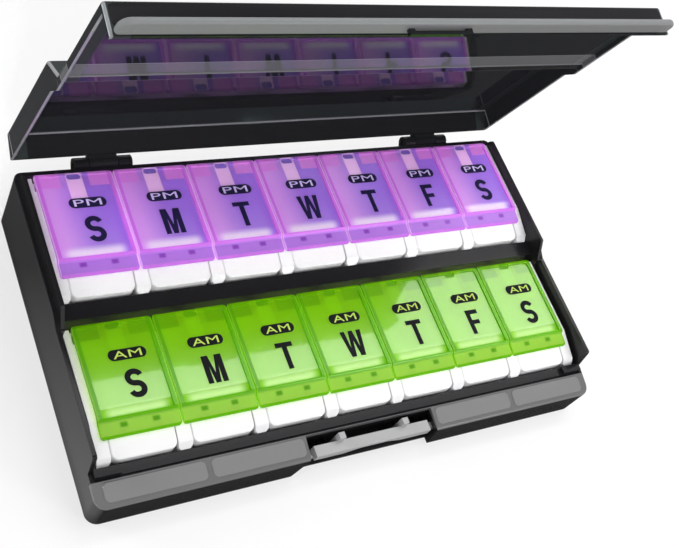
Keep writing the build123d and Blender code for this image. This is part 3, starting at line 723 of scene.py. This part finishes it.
face_recess, ink_film = 0.0005, 0.00004
badge_long, badge_wide, badge_at = 0.0142, 0.0043, (0.0023, 0.0138)
word_long, word_high = badge_long * 0.74, badge_wide * 0.66
letter_high, letter_bold, letter_at = 0.011, 0.0021, (0.0022, 0.0252)
notch_long, notch_wide, notch_at, notch_deep = 0.0058, 0.003, (0.0, 0.0021), 0.0005
for row, dark, pale, deep, word in (
    ("pm", ink_navy, ink_lilac, notch_shade_violet, "PM"),
    ("am", ink_black, ink_lime, notch_shade_green, "AM"),
):
    for day in days:
        low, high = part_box(row + "_lid_" + day)
        mid_x, back_y, face_z = (low.x + high.x) / 2, high.y, high.z - face_recess
        form = bmesh.new()
        for shape, at, lift, slot in (
            (badge(badge_long, badge_wide), badge_at, ink_film, 0),
            (small_print(word, word_long, word_high), badge_at, 2 * ink_film, 1),
            (day_letter(day[0].upper(), letter_high, letter_bold), letter_at, ink_film, 0),
            (badge(notch_long, notch_wide), notch_at, -notch_deep, 2),
        ):
            shape.transform(Matrix.Translation((mid_x + at[0], back_y - at[1], face_z + lift)))
            first = len(form.faces)
            form.from_mesh(shape)
            form.faces.ensure_lookup_table()
            for face in form.faces[first:]:
                face.normal_update()
                face.material_index = slot
                if face.normal.z < 0:
                    face.normal_flip()
            bpy.data.meshes.remove(shape)
        print_mesh = bpy.data.meshes.new(row + "_print_" + day)
        form.to_mesh(print_mesh)
        form.free()
        for finish in (dark, pale, deep):
            print_mesh.materials.append(finish)
        printed = bpy.data.objects.new(row + "_print_" + day, print_mesh)
        scene.collection.objects.link(printed)
        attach(printed, row + "_lid_" + day)

# Case lid: one stepped smoky moulding on two barrel hinges, polished like a dark mirror inside.
# Its front lip and the borders beside the walls are satin. Its side edges and thin lines across the
# inside are painted pale as painted highlights, the band between two of the lines is paler, partly
# its own tone and partly a painted sheen, and the lip is grey, partly its own tone and partly a
# painted reflection, so all of them stay grey where the panels mirror.
smoke, border_tone = (0.016, 0.016, 0.018), (0.024, 0.024, 0.025)
highlight_grey, lip_grey_and_sheen = (0.3, 0.295, 0.31), (0.235, 0.234, 0.237)
lid_smoke = moulding("lid_smoke", smoke, shine=0.03, haze=0.03, size=700, bump=0.01, specular=0.4)
net = lid_smoke.node_tree
place = net.nodes.new("ShaderNodeTexCoord")
lid_open = math.radians(76.5)
forward = Vector((0, -math.cos(lid_open), math.sin(lid_open)))
outward = Vector((0, math.sin(lid_open), math.cos(lid_open)))
hinge = Vector((0, 0.0658, 0.0264))


def lid_reach(direction):
    dot = net.nodes.new("ShaderNodeVectorMath")
    dot.operation = "DOT_PRODUCT"
    dot.inputs[1].default_value = direction
    net.links.new(place.outputs["Object"], dot.inputs[0])
    return maths(net, "SUBTRACT", dot.outputs["Value"], hinge.dot(direction))


reach = lid_reach(forward)
height = lid_reach(outward)


def lid_line(start, end, strength, below):
    line_edge, depth_edge = 0.0001, 0.0002
    begun = ramp(net, reach, start, start + line_edge)
    ended = ramp(net, reach, end, end - line_edge)
    inside = ramp(net, height, below, below - depth_edge)
    line = maths(net, "MULTIPLY", maths(net, "MULTIPLY", begun, ended), inside)
    return maths(net, "MULTIPLY", line, strength)


step_inside, back_inside = 0.0024, 0.0108
# Painted highlights: pale lines across the inside, a paler band between two of them that is partly
# a painted sheen, and the outer side edges.
pale = lid_line(0.0694, 0.0698, 0.4, step_inside)
for line in (
    (0.0730, 0.0737, 0.8, step_inside),
    (0.0737, 0.0806, 0.42, step_inside),
    (0.0806, 0.0812, 0.7, step_inside),
    (0.0078, 0.0086, 1.0, back_inside),
):
    pale = maths(net, "MAXIMUM", pale, lid_line(*line))
beside = maths(net, "ABSOLUTE", place_axes(net)["X"])
edge_in, edge_out = (0.1096, 0.1098), (0.11072, 0.11066)
border_in, border_out = (0.1043, 0.1047), (0.1097, 0.1096)
lip_start, lip_inside = (0.1178, 0.1182), (-0.0077, -0.0075)
outline = maths(net, "MULTIPLY", ramp(net, beside, *edge_in), ramp(net, beside, *edge_out))
pale = maths(net, "MAXIMUM", pale, outline)
border = maths(net, "MULTIPLY", ramp(net, beside, *border_in), ramp(net, beside, *border_out))
# The lip is painted grey: partly its own smoky tone, partly a painted reflection.
lip = maths(net, "MULTIPLY", ramp(net, reach, *lip_start), ramp(net, height, *lip_inside))
lid_tone = smoke
for mask, tone in ((border, border_tone), (pale, highlight_grey), (lip, lip_grey_and_sheen)):
    lid_tone = mixed(net, mask, lid_tone, tone)
skin = net.nodes["Principled BSDF"]
net.links.new(lid_tone, skin.inputs["Base Color"])
lip_satin, border_satin = 0.3, 0.5
lip_dull = maths(net, "MULTIPLY", lip, lip_satin)
satin = maths(net, "MAXIMUM", lip_dull, maths(net, "MULTIPLY", border, border_satin))
dull = maths(net, "ADD", satin, net.nodes["ripple"].outputs["Roughness"])
net.links.new(dull, skin.inputs["Roughness"])
skin.inputs["Specular Tint"].default_value = (0.68, 1.0, 1.0, 1)
dress("case_lid", lid_smoke, rounding=0.0003)

# Grip facing: a matt black strip let into the outside of the case lid's front wall, above the lip.
# It runs the whole width with rounded ends and stands a few hundredths proud of the wall.
facing_black = moulding(
    "facing_black", (0.02, 0.02, 0.022), shine=0.5, haze=0.1, size=2200, bump=0.15, specular=0.08
)
half_long, facing_deep = 0.1092, 0.0002
facing_low, facing_high = -0.0049, 0.0026
wall_low, wall_high = (0.1177, -0.0079), (0.1173, 0.0034)
wall_lean = wall_high[0] - wall_low[0]
end_pull, crown, steps = 0.0018, 0.00006, 12
strip = bmesh.new()
rails = []
for k in range(steps + 1):
    off = 2 * k / steps - 1
    up = facing_low + (facing_high - facing_low) * k / steps
    wall = wall_low[0] + wall_lean * (up - wall_low[1]) / (wall_high[1] - wall_low[1])
    half = half_long - end_pull * (1 - math.sqrt(max(0.0, 1 - off**6)))
    spot = hinge + forward * (wall + crown * (1 - off**8)) + outward * up
    rails.append([strip.verts.new((side * half, spot.y, spot.z)) for side in (-1, 1)])
for below, over in zip(rails, rails[1:]):
    face = strip.faces.new((below[0], below[1], over[1], over[0]))
    face.smooth = True
strip.normal_update()
for face in strip.faces:
    if face.normal.dot(forward) < 0:
        face.normal_flip()
facing_mesh = bpy.data.meshes.new("lid_grip_facing")
strip.to_mesh(facing_mesh)
strip.free()
facing_mesh.materials.append(facing_black)
facing = bpy.data.objects.new("lid_grip_facing", facing_mesh)
scene.collection.objects.link(facing)
sunk = facing.modifiers.new("let_into_wall", "SOLIDIFY")
sunk.thickness = facing_deep
sunk.offset = -1
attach(facing, "lid")

low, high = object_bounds()
